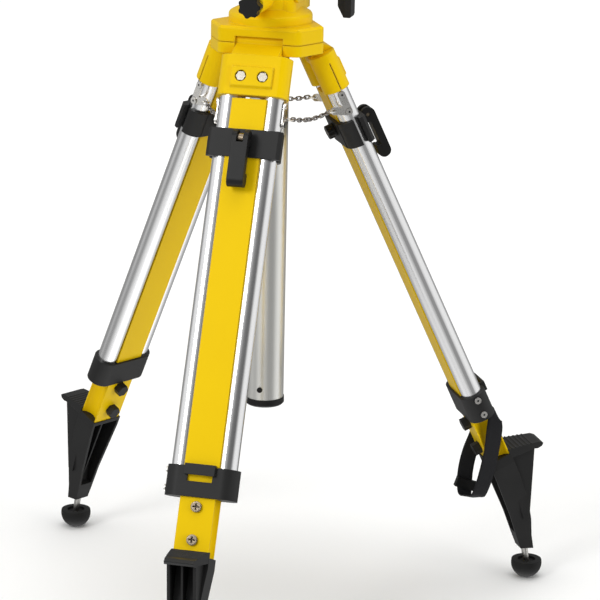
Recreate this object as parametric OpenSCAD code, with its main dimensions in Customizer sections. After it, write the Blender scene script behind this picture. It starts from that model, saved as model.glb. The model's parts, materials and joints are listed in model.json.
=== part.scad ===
/* [Stance] */
// Angle of each spread leg from plumb
leg_angle = 25.2; // [23:0.1:27]
// Distance of the hinge pins from the column axis
pin_radius = 38; // [37.5:0.5:41]
// Distance of the tube plane outside the hinge pin
leg_offset = 6.5; // [5:0.5:8]

/* [Leg tubes] */
// Outer diameter of the leg tubes
tube_d = 25; // [23:0.5:26]
// Wall of the leg tubes
tube_wall = 1.6; // [1.2:0.1:2.5]
// Distance between the two tubes of a leg
tube_spacing = 50; // [48:0.5:54]
// Upper end of the tubes, below the hinge pin
tube_top = 31; // [30:0.5:34]
// Length of the leg tubes
tube_length = 488; // [460:1:520]

/* [Leg head] */
// Lower end of the leg head casting, below the hinge pin
head_bottom = 68; // [64:0.5:69]
// Shoulder of the casting, below the hinge pin
shoulder_s = 21.5; // [20:0.5:24]
// Width of the hinge tongue
tongue_w = 55; // [50:0.5:57]
// Radius of the hinge barrel
barrel_r = 9; // [8:0.25:9.5]
// Wall of the sleeves round the tubes
sleeve_wall = 3.7; // [3:0.1:5]
// Width of the bolt boss
boss_w = 48; // [44:1:52]
// Height of the bolt boss over the casting's face
boss_rise = 3; // [2:0.5:5]
// Distance between the two clamping bolts
bolt_spacing = 25.4; // [22:0.2:28]
// Clamping bolts, below the hinge pin
bolt_s = 46.7; // [45:0.1:49]
// Thread diameter of the bolts and foot screws
bolt_d = 6; // [5:0.5:7]
// Width of the clamping slits
slit_w = 1.2; // [0.8:0.1:2]

/* [Chains] */
// Upper bracket rivet, below the hinge pin
rivet_top = 73.6; // [73.6:0.2:75]
// Distance between the two bracket rivets
rivet_step = 22; // [20:0.5:24]
// Diameter of the rivets' shanks
rivet_d = 4; // [3:0.25:5]
// Thickness of the chain brackets
bracket_t = 1.4; // [1:0.1:1.6]
// Width of the chain brackets
bracket_w = 9; // [8.5:0.25:9]
// Chain eye, below the hinge pin
eye_s = 87; // [85:0.5:89]
// Chain eye, inward of the tube plane
eye_in = 15.5; // [14:0.5:17]
// Diameter of the chain wire
wire_d = 1.7; // [1.5:0.1:1.8]
// Inside length of a chain link
link_length = 5.5; // [5.2:0.1:5.8]
// Inside width of a chain link
link_width = 2.4; // [2.4:0.1:2.8]
// Links in each half of a chain
half_links = 5; // [3:1:5]
// Slope of the spread chains at their rings
chain_slope = 15; // [10:0.5:18]

/* [Sliding leg] */
// Width of the sliding profile's faces
profile_w = 40; // [38:0.5:42]
// Height of the profile's faces over the tubes
profile_rise = 0.7; // [0.5:0.1:1.5]
// Wall of the profile
profile_wall = 2.2; // [1.8:0.1:3]
// Upper end of the profile, below the hinge pin
profile_top = 71.5; // [70:0.5:76]
// Length of the profile
profile_length = 514.5; // [480:0.5:540]
// Running clearance of all sliding faces
slide_clear = 0.35; // [0.3:0.05:0.45]

/* [Leg clamp] */
// Upper edge of the clamp, below the hinge pin
clamp_top = 107; // [104:0.5:112]
// Height of the clamp along the leg
clamp_h = 32; // [28:1:36]
// Width of the clamp
clamp_w = 86; // [84:1:92]
// Thickness of the clamp plate over the profile
plate_t = 1.8; // [1.5:0.1:3]
// Thickness of the clamp shell under the profile
shell_t = 4; // [3:0.25:5]
// Width of the lever
lever_w = 19; // [17:0.5:22]
// Length of the lever below its pin
lever_length = 56; // [50:0.5:60]
// Thickness of the lever arm
lever_t = 9; // [7.5:0.25:10]
// Radius of the lever's cam
cam_r = 9; // [8.5:0.25:10]
// Diameter of the lever's cross pin
cross_pin_d = 5; // [4:0.25:6]
// Diameter of the clamp stud
stud_d = 6; // [5:0.5:7]
// Diameter of the clamp knob
knob_d = 17; // [15:0.5:19]
// Height of the clamp knob
knob_h = 9.5; // [8:0.5:10]

/* [Lower collar] */
// Upper edge of the collar, below the hinge pin
collar_top = 487.5; // [487:0.5:500]
// Height of the collar along the leg
collar_h = 34; // [33:0.5:38]
// Wall of the collar round the tubes
collar_wall = 3.75; // [3:0.25:5]
// Width of the strap window
window_w = 28.5; // [26:0.5:30]
// Depth of the strap window below the collar's edge
window_h = 17; // [15.5:0.5:20]
// Height of the strap bar along the leg
bar_h = 12; // [10:0.5:13]
// Thickness of the strap bar
bar_t = 3.2; // [2.5:0.1:4]

/* [Shoe] */
// Width of the shoe at the profile
shoe_w = 44; // [43:0.5:46]
// Length of the shoe below the profile
shoe_length = 134; // [130:0.5:140]
// Wall of the shoe
shoe_wall = 3.4; // [2.8:0.1:4.5]
// Reach of the pedal outside the profile's face
pedal_reach = 44.5; // [40:0.5:48]
// Width of the pedal at its outer end
pedal_tip_w = 33; // [28:0.5:38]
// Ribs across the pedal
pedal_ribs = 6; // [4:1:6]
// First foot screw, below the hinge pin
screw_top = 532; // [530:0.5:536]
// Distance between the two foot screws
screw_step = 36.5; // [32:0.5:38]

/* [Foot] */
// Diameter of the rubber foot
foot_d = 38; // [34:0.5:42]
// Depth of the flat that the rubber foot stands on
foot_flat = 0.5; // [0.4:0.1:1.5]
// Height of the rubber foot's top over its centre
foot_cut = 4.5; // [3:0.5:6]
// Diameter of the spike
spike_d = 8; // [7:0.5:9]
// Angle between the spike and the leg
spike_cant = 15; // [12:0.5:18]
// Distance from the shoe's tip to the foot's centre
spike_reach = 20; // [19:0.5:24]

/* [Head] */
// Distance of the flange's leg faces from the axis
flange_face = 51; // [50:0.5:54]
// Distance of the flange's short faces from the axis
flange_corner = 66; // [65:0.5:68]
// Radius of the flange's corners
flange_round = 10; // [8:0.5:12]
// Width of the slope along the flange's upper edge
flange_edge = 3; // [2:0.25:4]
// Height of the groove along the parting plane
parting_h = 0.9; // [0.5:0.1:1.2]
// Height of the spider
spider_h = 13.4; // [12.5:0.1:16]
// Height of the housing's flange
flange_h = 18; // [17:0.5:20]
// Height of the leg recess over the parting plane
recess_h = 6.8; // [6:0.2:8]
// Radius of the housing's base ring
ring_r = 48; // [46:0.5:48.5]
// Radius of the base ring's shoulder
shoulder_r = 5; // [3:0.5:6]
// Height of the base ring
ring_h = 12; // [11:0.5:15]
// Radius of the tower
tower_r = 33.5; // [32:0.5:35]
// Height of the tower over the parting plane
tower_h = 152; // [148:1:165]
// Diameter of the hinge pins
pin_d = 8; // [7:0.25:9]
// Length of the hinge pins
pin_length = 80; // [74:1:88]
// Clearance of the tongue in its recess, each side
tongue_clear = 0.5; // [0.4:0.1:1]
// Running clearance of pins and shafts
pin_clear = 0.05; // [0.03:0.01:0.08]

/* [Column] */
// Outer diameter of the column
column_d = 45; // [43:0.5:46]
// Wall of the column tube
column_wall = 3; // [2.5:0.1:4]
// Lower end of the column tube, below the parting plane
column_drop = 432; // [420:1:450]
// Upper end of the column tube, over the parting plane
column_rise = 160; // [160:1:172]
// Depth of the end cap below the tube
cap_h = 9; // [6:0.5:12]
// Lip of the end cap outside the tube
cap_lip = 0.8; // [0.5:0.1:1.5]
// Wall of the guide bushes
bush_wall = 3; // [2.5:0.1:3.4]
// Length of each guide bush
bush_h = 24; // [20:1:28]

/* [Crank gear] */
// Module of the rack and the pinion
gear_module = 1.5; // [1.4:0.05:1.6]
// Teeth on the pinion
pinion_teeth = 14; // [13:1:15]
// Width of the rack
rack_w = 10; // [8:0.5:12]
// Lower end of the rack, below the parting plane
rack_drop = 232; // [225:1:240]
// Upper end of the rack, over the parting plane
rack_rise = 122; // [115:1:124]
// Crank shaft, over the parting plane
crank_z = 107; // [105:0.5:112]
// Diameter of the crank shaft
shaft_d = 12; // [10:0.5:13]
// Distance from the crank shaft to the grip's hinge
crank_length = 42; // [38:1:44]
// Distance of the grip's hinge outside the gearbox
crank_reach = 42; // [40:0.5:44]
// Width of the crank arm
crank_w = 20; // [18:0.5:22]
// Thickness of the crank arm
crank_t = 13; // [12:0.5:14]
// Length of the crank grip
grip_length = 44; // [40:0.5:48]
// Thickness of the grip at its tip
grip_tip = 9; // [8:0.5:10]

/* [Brake] */
// Brake screw, over the parting plane
brake_z = 48; // [46.5:0.5:50]
// Diameter of the brake knob
brake_knob_d = 26; // [25:0.5:28]
// Outer end of the brake boss from the axis
brake_boss = 78; // [74:1:82]
// Diameter of the brake screw
brake_screw_d = 10; // [8:0.5:11]

/* [Head plate] */
// Diameter of the head plate
plate_d = 130; // [110:1:150]
// Thickness of the head plate
head_plate_t = 9; // [7:0.5:12]
// Diameter of the plate's hub
hub_d = 64; // [62:1:70]
// Height of the gap that holds the screw's wheel
wheel_gap = 16; // [15:0.5:20]
// Diameter of the screw's wheel
wheel_d = 44; // [40:1:46]
// Diameter of the instrument screw's thread
thread_d = 15.875; // [15.8:0.005:15.95]
// Length of the thread over the plate
thread_length = 15; // [12:0.5:18]

/* [Strap] */
// Width of the strap
strap_w = 20; // [18:0.5:22]
// Thickness of the strap's solid
strap_t = 1.5; // [1.2:0.1:2]
// Distance of the strap's runs from the middle of the leg
strap_side = 23; // [22.5:0.1:25]
// Lowest point of the strap, below the collar
strap_hang = 106; // [103:0.5:108]
// Swing of the strap inward of the tube plane
strap_swing = 46; // [44:0.5:47]

/* [Hidden] */
$fn = 48;
LEGS = [1, 2, 3];
SIDES = [-1, 1];
LEG_PARTS = ["head", "tubes", "collar", "hardware", "profile", "clamp_plate", "clamp_shell",
             "clamp_lever", "clamp_knob", "shoe", "foot_hardware", "rubber_foot"];

YELLOW = [0.93, 0.72, 0.03];
BLACK = [0.12, 0.12, 0.13];
ALLOY = [0.80, 0.81, 0.82];
STEEL = [0.66, 0.66, 0.67];
RUBBER = [0.06, 0.06, 0.06];
NYLON = [0.88, 0.87, 0.82];

// Small fits and margins
fit = 0.05;
seat = 0.3;
over = 1;

// Places across the leg: u is sideways, n is outward from the tube plane, s runs down from the hinge pin
tube_r = tube_d / 2;
tube_u = tube_spacing / 2;
tube_end = tube_top + tube_length;
tube_side = tube_u + tube_r;
sleeve_r = tube_r + sleeve_wall;
head_face = tube_r + 2.5;
boss_face = head_face + boss_rise;
boss_top = bolt_s - 10;
boss_bottom = bolt_s + 11;
bolt_u = bolt_spacing / 2;
bolt_head_af = bolt_d / 0.6;
bolt_head_h = bolt_d * 0.66;
bolt_recess_d = bolt_head_af / cos(30) + 1.4;
bolt_seat = boss_face - 5;
web_back = 5;
slit_n = 1.5;
slit_top = tube_top + 2;

bracket_u = tube_side + 0.1 + bracket_t / 2;
rivet_head_d = 2 * rivet_d;
rivet_head_h = rivet_d * 0.4;
rivet_low = rivet_top + rivet_step;
eye_d = wire_d + 1.4;

profile_half = tube_r + profile_rise;
groove_r = tube_r + slide_clear;
profile_end = profile_top + profile_length;
core_w = 2 * (tube_u - groove_r - profile_wall);
core_t = 2 * (profile_half - profile_wall);

clamp_bottom = clamp_top + clamp_h;
pivot_s = clamp_top + 12.5;
plate_face = profile_half + plate_t;
plate_edge = 7;
plate_bevel = 4;
pivot_n = plate_face + seat + cam_r;
shell_face = -profile_half - shell_t;
shell_r = tube_r + shell_t;
stud_eye_r = 5.5;
stud_eye_w = 7;
stud_eye_room = 0.4;
lever_slot_w = stud_eye_w + 2 * stud_eye_room;
lever_hook_r = 8;
lever_hook = [5, 6];
lever_hook_t = 5.6;
knob_end = shell_face - seat - knob_h;

collar_bottom = collar_top + collar_h;
collar_r = tube_r + collar_wall;
collar_rivets = [collar_top + 6, collar_top + 26];
rivet_side = -1;
bar_cheek = 3;
bar_back_n = profile_half + 4.6;
bar_top = collar_top - 2;

shoe_top = profile_end;
screw_low = screw_top + screw_step;
tenon_top = screw_top - 8;
tip_s = shoe_top + shoe_length;
tip_in = 14;
boot_lip = 1.3;
cap_nut_af = 14;
cap_nut_h = 9.5;
screw_head_d = 2 * bolt_d;
screw_head_h = bolt_d / 2;
socket_depth = 22;
pedal_face = profile_half;
pedal_tip = profile_half + pedal_reach;
pedal_back_s = shoe_top - 6;
pedal_rise = 14;
pedal_back_t = 12;
pedal_lip_t = 5.5;
pedal_lip_s = pedal_back_s + pedal_rise + pedal_lip_t;
gusset_u = pedal_tip_w / 2 - shoe_wall / 2;
gusset_in = 11.5;
boot_rib_w = 2.4;

ball_s = tip_s + spike_reach * cos(spike_cant);
ball_n = -tip_in - spike_reach * sin(spike_cant);
ball_z = foot_d / 2 - foot_flat;
pin_z = ball_z + ball_s * cos(leg_angle) - (ball_n + leg_offset) * sin(leg_angle);
ball_radius = leg_r(ball_n, ball_s);
spike_depth = foot_d / 6;
recess_d = 0.58 * foot_d;
recess_depth = 3;

column_r = column_d / 2;
bush_r = column_r + pin_clear;
bore_r = bush_r + bush_wall;
through_r = column_r + 0.7;
flange_top = pin_z + flange_h;
ring_top = flange_top + ring_h;
tower_top = pin_z + tower_h;
cone_slope = 27;
parting_depth = 1.4;
spider_bottom = pin_z - spider_h;
barrel_room = barrel_r + 0.6;
recess_w = tongue_w + 2 * tongue_clear;
screw_circle = 56;
head_screw_d = 6;
bush_lift = 10;

pitch_r = gear_module * pinion_teeth / 2;
tooth_pitch = PI * gear_module;
addendum = 0.8 * gear_module;
dedendum = 1.15 * gear_module;
backlash = 0.5;
rack_back = column_r - 1.5;
rack_root = column_r + 0.7;
rack_line = rack_root + dedendum;
rack_key = rack_line + addendum + 0.8;
pinion_y = rack_line + pitch_r;
pinion_tip_r = pitch_r + addendum;
crank_level = pin_z + crank_z;
gear_room = pinion_tip_r + 1.2;
gear_half = rack_w / 2 + 2;
gearbox_x = tower_r + 1;
gearbox_front = 26;
gearbox_y1 = pinion_y + gear_room + 5;
gearbox_top = tower_top - 8;
gearbox_corner = 9;
cover_t = 3;
cover_screws = [[-gearbox_front + 9, ring_top + 22], [gearbox_y1 - 9, ring_top + 22],
                [-gearbox_front + 9, gearbox_top - 9], [gearbox_y1 - 9, gearbox_top - 9]];
cover_screw_d = 4;
cover_head_h = 2.4;
rack_bottom = pin_z - rack_drop;
rack_top = pin_z + rack_rise;
shaft_tail = 22;
crank_x0 = gearbox_x + cover_t + seat;
hub_length = 18;
shaft_end = crank_x0 + hub_length + 2;
crank_hub_d = shaft_d + 12;
grip_x = crank_x0 + crank_reach;
grip_z = crank_level - crank_length;
fork_t = 4;
fork_r = 8;
grip_pin_d = 5;
grip_eye_w = crank_w - 2 * fork_t - 2 * stud_eye_room;
grip_slope = 28;

brake_level = pin_z + brake_z;
brake_shoe_t = 5;
brake_shoe_d = 18;
brake_boss_d = 24;
brake_shoe_gap = 0.4;
brake_pad_back = -column_r - brake_shoe_gap - brake_shoe_t;
knob_grip_h = 17;
knob_lobes = 7;

column_top = pin_z + column_rise;
column_bottom = pin_z - column_drop;
spigot_h = 26;
hub_floor_t = 8;
hub_top = column_top + hub_floor_t + wheel_gap;
plate_top = hub_top + head_plate_t;
wheel_h = wheel_gap - 2;
wheel_flutes = 16;
post_w = 36;

strap_window_in = bar_back_n - 0.6;

// Distance from the axis and height of a point of a spread leg
function leg_r(n, s) = pin_radius + (n + leg_offset) * cos(leg_angle) + s * sin(leg_angle);
function leg_z(n, s) = pin_z - s * cos(leg_angle) + (n + leg_offset) * sin(leg_angle);

// Frame of a spread leg: X across, -Y outward, -Z down the leg, origin level with the hinge pin
module on_leg(i) {
    rotate([0, 0, 120 * (i - 1)])
        translate([0, -pin_radius, pin_z])
            rotate([-leg_angle, 0, 0])
                translate([0, -leg_offset, 0])
                    children();
}

// Outline in n and s, given a width across the leg
module side(w) {
    rotate([-90, 0, -90]) linear_extrude(height = w, center = true) children();
}

// Outline in u and n, drawn out down the leg
module along(s0, s1) {
    translate([0, 0, -s0]) rotate([180, 0, 0]) linear_extrude(height = s1 - s0) children();
}

// Outline in u and s, drawn through the leg
module front(n0, n1) {
    translate([0, -n1, 0]) rotate([-90, 0, 0]) linear_extrude(height = n1 - n0) children();
}

// Round bar square to the leg's face
module rod_n(u, s, n0, n1, d, sides = 0) {
    translate([u, -n0, -s]) rotate([90, 0, 0]) cylinder(d = d, h = n1 - n0, $fn = sides > 0 ? sides : $fn);
}

// Round bar across the leg
module rod_u(n, s, u0, u1, d) {
    translate([u0, -n, -s]) rotate([0, 90, 0]) cylinder(d = d, h = u1 - u0);
}

// Same shape on the left or the right of the leg
module on_side(k) {
    mirror([k < 0 ? 1 : 0, 0, 0]) children();
}

// Flat bar with round ends between two points
module bar2d(a, b, w) {
    span = b - a;
    translate(a) rotate(atan2(span[1], span[0])) translate([0, -w / 2]) square([norm(span), w]);
    translate(a) circle(d = w);
    translate(b) circle(d = w);
}

module box(low, high) {
    translate(low) cube(high - low);
}

module tube_pair(d) {
    for (k = SIDES) translate([k * tube_u, 0]) circle(d = d);
}

// Tapped rivet that holds a plate to the side of a tube
module side_rivet(s, seat_u) {
    rod_u(0, s, tube_side - tube_wall, seat_u, rivet_d);
    rod_u(0, s, seat_u, seat_u + rivet_head_h, rivet_head_d);
}

module leg_head(i) {
    color(YELLOW) on_leg(i) difference() {
        union() {
            rod_u(-leg_offset, 0, -tongue_w / 2, tongue_w / 2, 2 * barrel_r);
            side(tongue_w) polygon([
                [-leg_offset - barrel_r / 2, 0], [-leg_offset + barrel_r / 2, 0],
                [-leg_offset + barrel_r + 0.7, barrel_r], [head_face, shoulder_s],
                [head_face, tube_top + 4], [-tube_r, tube_top + 4]]);
            along(shoulder_s, head_bottom) intersection() {
                union() {
                    tube_pair(2 * sleeve_r);
                    translate([-tube_u, 4]) square([2 * tube_u, head_face - 4]);
                }
                translate([-2 * tube_spacing, -tube_spacing])
                    square([4 * tube_spacing, tube_spacing + head_face]);
            }
            side(boss_w) polygon([
                [head_face - over, boss_top - boss_rise], [boss_face, boss_top],
                [boss_face, boss_bottom], [head_face - over, boss_bottom + boss_rise]]);
            along(bolt_s - 7, bolt_s + 7)
                translate([-tube_u + 4, -web_back]) square([2 * tube_u - 8, head_face + web_back - over]);
        }
        rod_u(-leg_offset, 0, -tongue_w, tongue_w, pin_d + 2 * pin_clear);
        along(tube_top, head_bottom + over) tube_pair(tube_d + 2 * fit);
        for (k = SIDES) {
            rod_n(k * bolt_u, bolt_s, -web_back - over, boss_face + over, bolt_d + 2 * fit);
            rod_n(k * bolt_u, bolt_s, bolt_seat, boss_face + over, bolt_recess_d);
            on_side(k) box([tube_u + tube_r - over, -slit_n - slit_w / 2, -head_bottom - over],
                           [tube_u + sleeve_r + over, -slit_n + slit_w / 2, -slit_top]);
        }
    }
}

module leg_tubes(i) {
    color(ALLOY) on_leg(i) for (k = SIDES) on_side(k) difference() {
        along(tube_top, tube_end) translate([tube_u, 0]) circle(d = tube_d);
        along(tube_top - over, tube_end + over) translate([tube_u, 0]) circle(d = tube_d - 2 * tube_wall);
        rod_n(bolt_u, bolt_s, -tube_d, tube_d, bolt_d + 4 * fit);
        for (s = k == rivet_side ? concat([rivet_top, rivet_low], collar_rivets) : [rivet_top, rivet_low])
            rod_u(0, s, tube_u, tube_side + over, rivet_d + 2 * fit);
    }
}

module leg_collar(i) {
    color(BLACK) on_leg(i) difference() {
        union() {
            along(collar_top, collar_bottom) {
                tube_pair(2 * collar_r);
                square([2 * tube_u, 2 * collar_r], center = true);
            }
            along(bar_top, bar_top + bar_h)
                translate([-window_w / 2 - bar_cheek, profile_half + slide_clear])
                    square([window_w + 2 * bar_cheek, bar_back_n + bar_t - profile_half - slide_clear]);
        }
        along(bar_top - over, tube_end) tube_pair(tube_d + 2 * fit);
        along(bar_top - over, collar_bottom + over)
            square([profile_w + 2 * slide_clear, 2 * (profile_half + slide_clear)], center = true);
        along(bar_top - over, collar_top + window_h)
            translate([-window_w / 2, 0]) square([window_w, bar_back_n]);
        for (s = collar_rivets)
            on_side(rivet_side) rod_u(0, s, tube_u, tube_u + collar_r + over, rivet_d + 2 * fit);
    }
}

module hex_bolt(u) {
    rod_n(u, bolt_s, bolt_seat, bolt_seat + bolt_head_h, bolt_head_af / cos(30), 6);
    rod_n(u, bolt_s, -web_back - over, bolt_seat, bolt_d);
}

module chain_bracket() {
    difference() {
        translate([bracket_u, 0, 0]) side(bracket_t) {
            bar2d([0, rivet_top], [0, rivet_low], bracket_w);
            bar2d([0, rivet_low], [-eye_in, eye_s], bracket_w);
        }
        for (s = [rivet_top, rivet_low]) rod_u(0, s, tube_side - over, bracket_u + over, rivet_d + 2 * fit);
        rod_u(-eye_in, eye_s, tube_side - over, bracket_u + over, eye_d);
    }
}

// Chain eye of a leg's right side, and the level directions along and across the spread chain
eye_point = [bracket_u, -leg_r(-eye_in, eye_s), leg_z(-eye_in, eye_s)];
chain_turn = 60;
ring_r_chain = 4.5;

// Frame of a chain: X along it towards the next leg, Z up
module on_chain(i, k) {
    rotate([0, 0, 120 * (i - 1)]) on_side(k) translate(eye_point) rotate([0, 0, chain_turn]) children();
}

module torus(r, d, turn = 360) {
    rotate_extrude(angle = turn) translate([r, 0]) circle(d = d, $fn = 24);
}

module leg_hardware(i) {
    color(STEEL) {
        on_leg(i) for (k = SIDES) {
            hex_bolt(k * bolt_u);
            on_side(k) {
                chain_bracket();
                for (s = [rivet_top, rivet_low]) side_rivet(s, bracket_u + bracket_t / 2);
            }
        }
        on_leg(i) on_side(rivet_side) for (s = collar_rivets) side_rivet(s, tube_u + collar_r);
        for (k = SIDES) on_chain(i, k) translate([ring_r_chain, 0, 0]) torus(ring_r_chain, wire_d);
    }
}

// One link of the chain: two straight sides and two half rings
module chain_link() {
    bend_r = (link_width + wire_d) / 2;
    straight = link_length - link_width;
    for (k = SIDES) {
        translate([-straight / 2, k * bend_r, 0]) rotate([0, 90, 0])
            cylinder(d = wire_d, h = straight, $fn = 24);
        translate([k * straight / 2, 0, 0]) rotate([0, 0, -90 * k]) torus(bend_r, wire_d, 180);
    }
}

// The slope falls evenly from the ring to the chain's middle, one link past the half-chain's end
link_pitch = link_length - seat;
function link_slope(j) = chain_slope * (1 - (j - 0.5) / (half_links + 1));
function link_start(j) = j == 1 ? [0, 0]
    : link_start(j - 1) + link_pitch * [cos(link_slope(j - 1)), -sin(link_slope(j - 1))];

module half_chain(i, k) {
    color(STEEL) on_chain(i, k) for (j = [1 : half_links])
        translate([2 * ring_r_chain + link_start(j)[0], 0, link_start(j)[1]]) rotate([0, link_slope(j), 0])
            translate([link_pitch - (link_length + wire_d) / 2, 0, 0]) rotate([90 * (j % 2), 0, 0])
                chain_link();
}

module leg_profile(i) {
    color(YELLOW) on_leg(i) difference() {
        along(profile_top, profile_end) difference() {
            square([profile_w, 2 * profile_half], center = true);
            tube_pair(2 * groove_r);
            square([core_w, core_t], center = true);
        }
        for (s = [screw_top, screw_low]) rod_n(0, s, -tube_d, tube_d, bolt_d + 2 * fit);
        rod_n(0, pivot_s, -tube_d, tube_d, stud_d + 2 * fit);
    }
}

module clamp_plate(i) {
    color(BLACK) on_leg(i) difference() {
        along(clamp_top, clamp_bottom) difference() {
            polygon([[-clamp_w / 2, plate_edge], [clamp_w / 2, plate_edge],
                     [clamp_w / 2, plate_face - plate_bevel], [clamp_w / 2 - plate_bevel, plate_face],
                     [-clamp_w / 2 + plate_bevel, plate_face], [-clamp_w / 2, plate_face - plate_bevel]]);
            tube_pair(2 * groove_r);
            translate([-tube_u, 0]) square([2 * tube_u, profile_half]);
        }
        rod_n(0, pivot_s, 0, plate_face + over, stud_d + 2 * fit);
    }
}

module clamp_shell(i) {
    color(BLACK) on_leg(i) difference() {
        along(clamp_top, clamp_bottom) difference() {
            intersection() {
                union() {
                    tube_pair(2 * shell_r);
                    translate([-tube_u, shell_face]) square([2 * tube_u, shell_t]);
                }
                translate([-clamp_w, -clamp_w]) square([2 * clamp_w, clamp_w]);
            }
            tube_pair(2 * groove_r);
            translate([-tube_u, -profile_half]) square([2 * tube_u, profile_half]);
        }
        rod_n(0, pivot_s, shell_face - over, 0, stud_d + 2 * fit);
    }
}

module clamp_lever(i) {
    hook_s = pivot_s + lever_length - lever_hook_r;
    arm_face = pivot_n + cam_r;
    color(BLACK) on_leg(i) difference() {
        side(lever_w) {
            translate([pivot_n, pivot_s]) circle(r = cam_r);
            translate([arm_face - lever_t, pivot_s]) square([lever_t, hook_s - pivot_s]);
            translate([arm_face - lever_hook_r, hook_s]) circle(r = lever_hook_r);
            bar2d([arm_face - lever_hook_r, hook_s], [arm_face - lever_hook_r, hook_s] - lever_hook, lever_hook_t);
        }
        rod_u(pivot_n, pivot_s, -lever_w, lever_w, cross_pin_d + 2 * pin_clear);
        front(plate_face - over, arm_face + over)
            translate([-lever_slot_w / 2, pivot_s - cam_r - over])
                square([lever_slot_w, cam_r + over + stud_eye_r + stud_eye_room]);
    }
}

module clamp_knob(i) {
    color(BLACK) on_leg(i) difference() {
        rod_n(0, pivot_s, knob_end, shell_face - seat, knob_d);
        rod_n(0, pivot_s, knob_end - over, shell_face, stud_d + 2 * pin_clear);
        for (a = [0 : 45 : 315])
            rod_n(knob_d * 0.58 * cos(a), pivot_s + knob_d * 0.58 * sin(a),
                knob_end - over, knob_end + knob_h * 0.7, 5);
    }
}

// Side view of the boot in n and s
boot_side = [
    [profile_half + boot_lip, shoe_top], [profile_half + boot_lip, shoe_top + 0.25 * shoe_length],
    [11.5, shoe_top + 0.54 * shoe_length], [6.5, shoe_top + 0.72 * shoe_length],
    [-1, shoe_top + 0.88 * shoe_length], [-5.5, tip_s + 2],
    [-20.5, tip_s - 6], [-19.5, shoe_top + 0.84 * shoe_length], [-16.5, shoe_top + 0.6 * shoe_length],
    [-15.5, shoe_top + 0.3 * shoe_length],
    [-profile_half - boot_lip, shoe_top]];
boot_tip_w = 18;

// Front view of the boot in u and s, drawn in by a wall
function boot_front(wall) = [
    [-shoe_w / 2 + wall, shoe_top - over], [shoe_w / 2 - wall, shoe_top - over],
    [shoe_w / 2 - wall, shoe_top + 12], [boot_tip_w / 2 + 1.5 - wall, tip_s - 14],
    [boot_tip_w / 2 - wall, tip_s + 4], [-boot_tip_w / 2 + wall, tip_s + 4],
    [-boot_tip_w / 2 - 1.5 + wall, tip_s - 14], [-shoe_w / 2 + wall, shoe_top + 12]];

module boot_channel() {
    difference() {
        intersection() {
            side(shoe_w) polygon([
                [-2 * tube_d, shoe_top + 5], [profile_half - 4, shoe_top + 5],
                [1, shoe_top + 0.6 * shoe_length], [-10, tip_s - socket_depth - 6],
                [-2 * tube_d, tip_s - socket_depth - 12]]);
            front(-2 * tube_d, tube_d) polygon(boot_front(shoe_wall));
        }
        box([-boot_rib_w / 2, -profile_half, -tip_s], [boot_rib_w / 2, 9, -shoe_top]);
    }
}

module pedal() {
    rib_first = profile_half + 5;
    rib_step = 5;
    rib_d = 2.6;
    slope = pedal_rise / pedal_reach;
    intersection() {
        union() {
            side(shoe_w) polygon([
                [pedal_face, pedal_back_s], [pedal_tip - 4, pedal_back_s + slope * (pedal_reach - 4)],
                [pedal_tip, pedal_lip_s - 3], [pedal_tip - 0.5, pedal_lip_s - 2],
                [pedal_tip - 3, pedal_lip_s], [pedal_tip - 9, pedal_lip_s], [pedal_tip - 13, pedal_lip_s - 2],
                [pedal_face, pedal_back_s + pedal_back_t]]);
            for (j = [0 : pedal_ribs - 1])
                rod_u(rib_first + j * rib_step, pedal_back_s + slope * (rib_first + j * rib_step - profile_half) + 0.4,
                      -shoe_w / 2, shoe_w / 2, rib_d);
        }
        along(pedal_back_s - 10, shoe_top + 40) polygon([
            [-shoe_w / 2, pedal_face], [shoe_w / 2, pedal_face],
            [pedal_tip_w / 2, pedal_tip], [-pedal_tip_w / 2, pedal_tip]]);
    }
}

// Upright web from the pedal down to the boot, its corner set in from the pedal's tip
module gusset(in) {
    polygon([
        [profile_half - 4, shoe_top], [pedal_face, shoe_top], [pedal_tip - in, pedal_lip_s - 4],
        [5, shoe_top + 0.68 * shoe_length], [-3, shoe_top + 0.68 * shoe_length]]);
}

module spike_rod(d, up, down) {
    translate([0, tip_in, -tip_s]) rotate([spike_cant, 0, 0])
        translate([0, 0, -down]) cylinder(d = d, h = up + down);
}

module cap_nut(s) {
    difference() {
        rod_n(0, s, -profile_half - cap_nut_h, -profile_half, cap_nut_af / cos(30), 6);
        rod_n(0, s, -profile_half - 5, -profile_half + over, bolt_d + 2 * fit);
    }
}

module shoe(i) {
    color(BLACK) on_leg(i) {
        difference() {
            union() {
                intersection() {
                    side(2 * shoe_w) polygon(boot_side);
                    front(-2 * tube_d, 2 * tube_d) polygon(boot_front(0));
                }
                along(tenon_top, shoe_top + over) square([core_w - 2 * fit, core_t - 2 * fit], center = true);
                pedal();
                for (k = SIDES) translate([k * gusset_u, 0, 0]) side(shoe_wall) gusset(gusset_in);
                side(boot_rib_w) gusset(gusset_in + 3);
            }
            boot_channel();
            spike_rod(spike_d + 2 * fit, socket_depth, spike_reach);
            for (s = [screw_top, screw_low]) rod_n(0, s, -tube_d, tube_d, bolt_d + 2 * fit);
            rod_n(0, screw_low, profile_half - over, pedal_tip, screw_head_d + 4 * seat);
        }
        for (s = [screw_top, screw_low]) cap_nut(s);
    }
}

module foot_screw(s) {
    cross_w = 1.2;
    difference() {
        rod_n(0, s, profile_half, profile_half + screw_head_h, screw_head_d);
        for (turn = [0, 90]) translate([0, -profile_half - screw_head_h, -s]) rotate([0, turn, 0])
            cube([screw_head_d * 0.6, screw_head_h, cross_w], center = true);
    }
    rod_n(0, s, -profile_half - 5, profile_half + over, bolt_d);
}

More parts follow.
